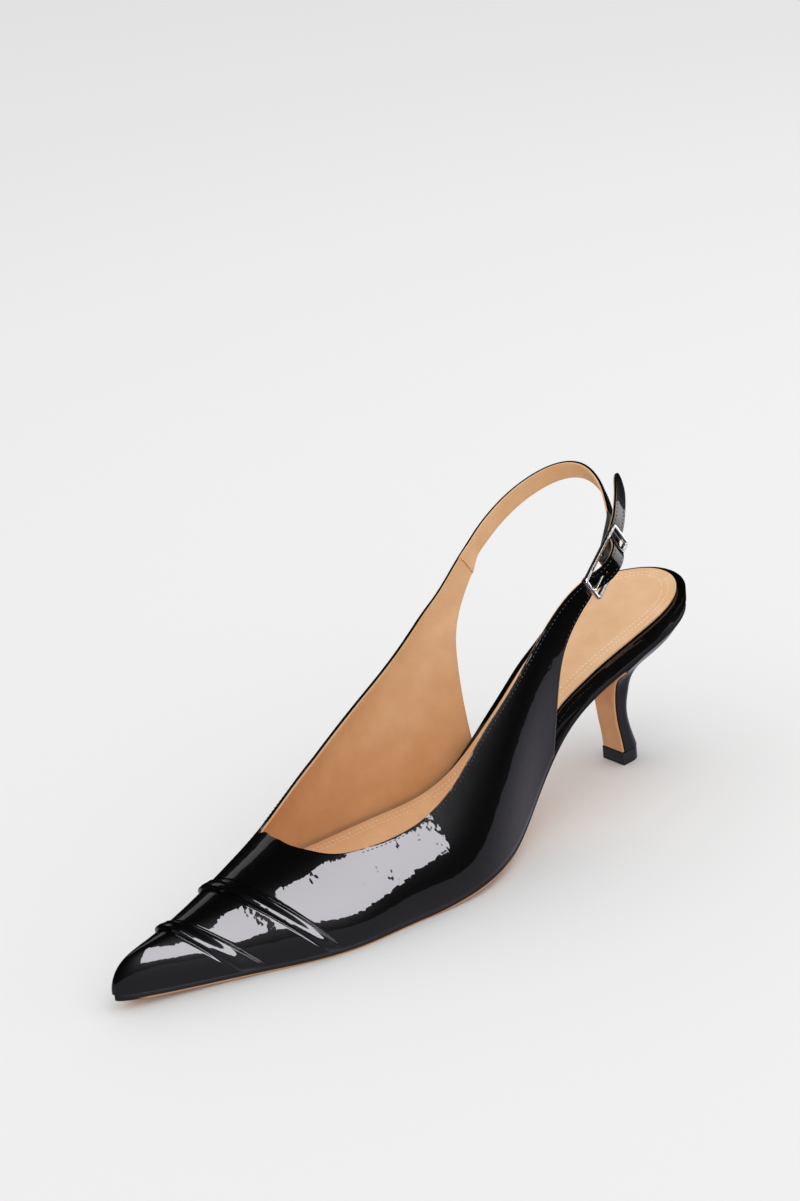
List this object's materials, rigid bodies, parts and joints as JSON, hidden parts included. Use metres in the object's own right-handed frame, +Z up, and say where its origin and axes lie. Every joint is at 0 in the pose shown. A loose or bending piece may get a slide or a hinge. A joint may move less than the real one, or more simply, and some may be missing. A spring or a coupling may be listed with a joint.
{
  "type": "slingback pump",
  "caption": "Pointed slingback pump on a kitten heel, with two raised pleats across the vamp and a buckled heel strap.",
  "frame": {"origin": "middle of the top lift's floor face, under the heel", "axes": "+X from the heel to the toe, +Y to the wearer's left, which is the outer side of this left shoe, +Z up from the floor"},
  "size_m": [0.2576, 0.0694, 0.1161],
  "materials": {
    "patent_black": "high gloss",
    "leather_tan": "satin",
    "sole_leather": "satin",
    "rubber_black": "matte",
    "elastic_black": "matte",
    "buckle_metal": "polished"
  },
  "bodies": {
    "root": {"outsole": "sole_leather", "insole": "patent_black", "sock": "leather_tan", "upper": "patent_black", "sling_strap": "patent_black", "elastic": "elastic_black", "heel": "patent_black", "heel_breast": "sole_leather", "top_lift": "rubber_black", "buckle_frame": "buckle_metal", "buckle_prong": "buckle_metal"}
  },
  "joints": []
}
